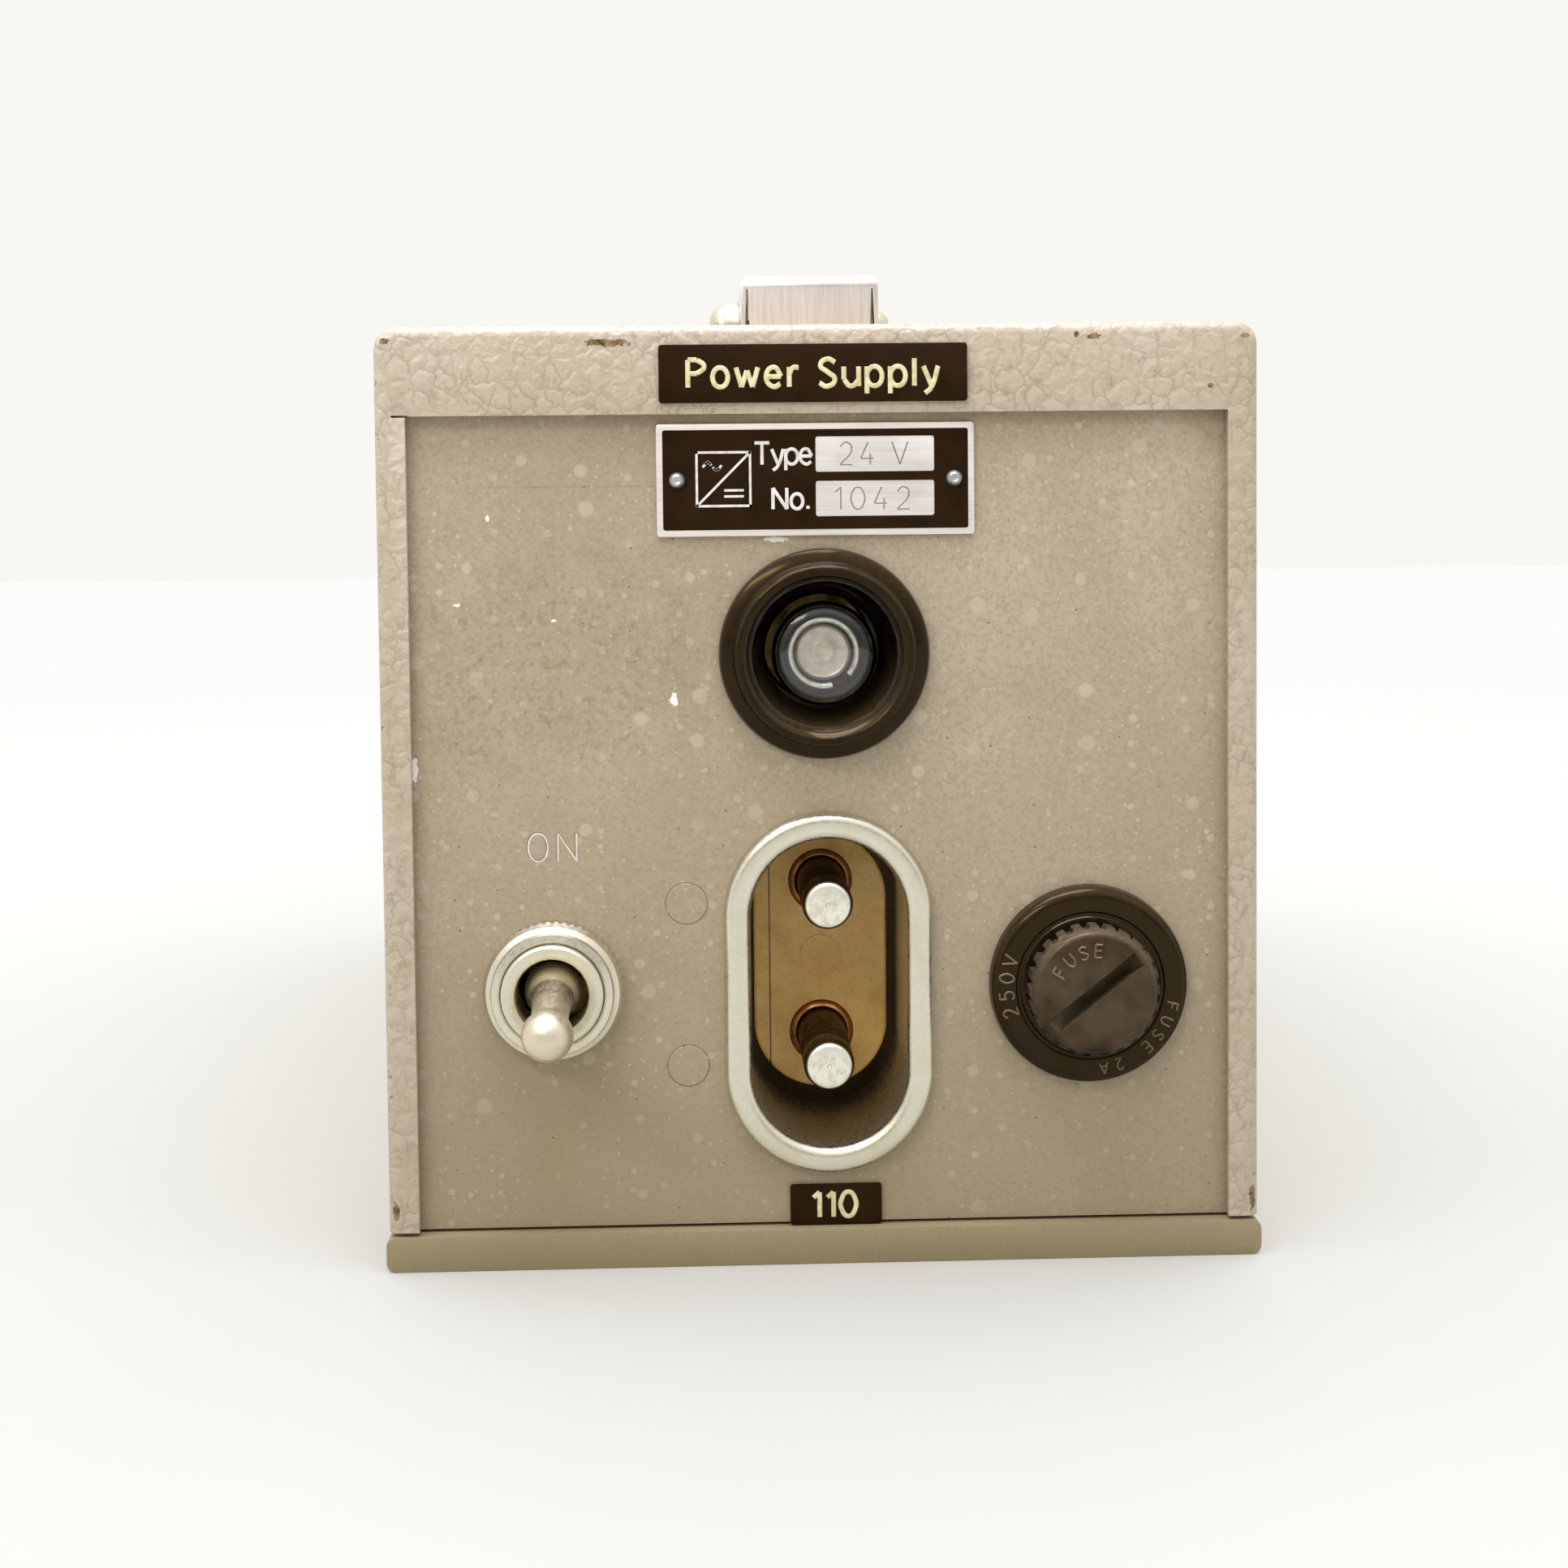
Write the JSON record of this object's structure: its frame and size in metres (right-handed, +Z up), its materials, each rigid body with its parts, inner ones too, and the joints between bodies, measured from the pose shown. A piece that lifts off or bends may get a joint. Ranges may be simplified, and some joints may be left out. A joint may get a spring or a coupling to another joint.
{
  "type": "mains power supply unit",
  "caption": "Sheet-steel bench power unit with a pilot lamp, two-pin mains inlet, panel fuse, toggle switch and a strap handle on top.",
  "frame": {"origin": "centre of the underside of the base plate", "axes": "+X to the right of the control panel as it is faced, +Y from the control panel to the rear panel, +Z up"},
  "size_m": [0.103, 0.2388, 0.1177],
  "materials": {
    "painted_panel": "satin beige lacquer with paler spatter, worn",
    "hammer_finish": "beige-grey hammer finish",
    "label_lacquer": "black-brown lacquered plate, cream lettering",
    "brushed_aluminium": "brushed",
    "black_bakelite": "polished black phenolic moulding",
    "lamp_glass": "clear",
    "nickel_plate": "aged nickel plating",
    "hard_paper": "brown phenolic hard paper",
    "pin_brass": "turned, tarnished",
    "zinc_steel": "plain",
    "strap_cover": "black, smooth",
    "core_iron": "varnished laminations",
    "enamelled_copper": "lacquered winding under varnished paper",
    "socket_ceramic": "glazed"
  },
  "bodies": {
    "case": {"base_plate": "painted_panel", "cap_pin_front": "nickel_plate", "cap_pin_rear": "nickel_plate", "capacitor_can": "brushed_aluminium", "capacitor_clamp": "zinc_steel", "case_screw_1": "zinc_steel", "case_screw_2": "zinc_steel", "case_screw_3": "zinc_steel", "case_screw_4": "zinc_steel", "choke_core": "core_iron", "choke_winding": "enamelled_copper", "flush_rivet_lower": "painted_panel", "flush_rivet_upper": "painted_panel", "front_panel": "painted_panel", "fuse_back_nut": "pin_brass", "fuse_contact": "pin_brass", "fuse_holder_body": "black_bakelite", "handle_cap_front": "nickel_plate", "handle_cap_rear": "nickel_plate", "hood": "hammer_finish", "hood_label": "label_lacquer", "inlet_bracket": "zinc_steel", "inlet_collar": "nickel_plate", "inlet_housing": "black_bakelite", "inlet_pin_lower": "pin_brass", "inlet_pin_upper": "pin_brass", "inlet_plate": "hard_paper", "lamp_bezel": "black_bakelite", "lamp_bulb": "lamp_glass", "lamp_cap": "pin_brass", "lamp_disc_electrode": "nickel_plate", "lamp_ring_electrode": "nickel_plate", "lamp_socket": "socket_ceramic", "output_socket_insert": "black_bakelite", "output_socket_shell": "nickel_plate", "plate_rivet_left": "brushed_aluminium", "plate_rivet_right": "brushed_aluminium", "rating_plate": "brushed_aluminium", "rear_panel": "painted_panel", "rectifier_stack": "brushed_aluminium", "switch_back_nut": "nickel_plate", "switch_body": "black_bakelite", "switch_bush": "nickel_plate", "switch_ring_nut": "nickel_plate", "switch_terminal_lower": "pin_brass", "switch_terminal_upper": "pin_brass", "transformer_core": "core_iron", "transformer_winding": "enamelled_copper", "voltage_label": "label_lacquer"},
    "lever": {"switch_lever": "nickel_plate"},
    "contact_rocker": {"switch_contact": "pin_brass"},
    "fuse_link": {"fuse_glass": "lamp_glass", "fuse_end_front": "nickel_plate", "fuse_end_rear": "nickel_plate"},
    "fuse_knob": {"fuse_cap": "black_bakelite"},
    "grip": {"strap_grip": "strap_cover"},
    "front_link": {"strap_link_front": "strap_cover"},
    "front_tail": {"strap_tail_front": "zinc_steel"},
    "rear_link": {"strap_link_rear": "strap_cover"},
    "rear_tail": {"strap_tail_rear": "zinc_steel"}
  },
  "joints": [
    {"name": "switch_toggle", "type": "hinge", "parent": "case", "child": "lever", "pos_m": [-0.0316, -0.1119, 0.0329], "axis": [-1, 0, 0], "range_deg": [0, 26]},
    {"name": "contact_rock", "type": "hinge", "parent": "case", "child": "contact_rocker", "pos_m": [-0.0316, -0.0974, 0.0329], "axis": [1, 0, 0], "range_deg": [0, 17]},
    {"name": "fuse_withdraw", "type": "slide", "parent": "case", "child": "fuse_link", "axis": [0, -1, 0], "range_m": [0, 0.03]},
    {"name": "fuse_cap_turn", "type": "hinge", "parent": "fuse_link", "child": "fuse_knob", "pos_m": [0.0312, -0.1107, 0.0325], "axis": [0, -1, 0], "range_deg": [0, 90]},
    {"name": "handle_lift", "type": "slide", "parent": "case", "child": "grip", "axis": [0, 0, 1], "range_m": [0, 0.02]},
    {"name": "front_link_bend", "type": "hinge", "parent": "grip", "child": "front_link", "pos_m": [0, -0.0184, 0.1121], "axis": [1, 0, 0], "range_deg": [0, 24.8]},
    {"name": "front_tail_bend", "type": "hinge", "parent": "front_link", "child": "front_tail", "pos_m": [0, -0.0684, 0.1121], "axis": [-1, 0, 0], "range_deg": [0, 24.8]},
    {"name": "rear_link_bend", "type": "hinge", "parent": "grip", "child": "rear_link", "pos_m": [0, 0.0184, 0.1121], "axis": [-1, 0, 0], "range_deg": [0, 24.8]},
    {"name": "rear_tail_bend", "type": "hinge", "parent": "rear_link", "child": "rear_tail", "pos_m": [0, 0.0684, 0.1121], "axis": [1, 0, 0], "range_deg": [0, 24.8]}
  ],
  "couplings": [
    {"joint": "contact_rock", "follows": "switch_toggle", "ratio": 0.6154},
    {"joint": "front_link_bend", "follows": "handle_lift", "rad_per_m": 20.42},
    {"joint": "front_tail_bend", "follows": "handle_lift", "rad_per_m": 20.42},
    {"joint": "rear_link_bend", "follows": "handle_lift", "rad_per_m": 20.42},
    {"joint": "rear_tail_bend", "follows": "handle_lift", "rad_per_m": 20.42}
  ]
}
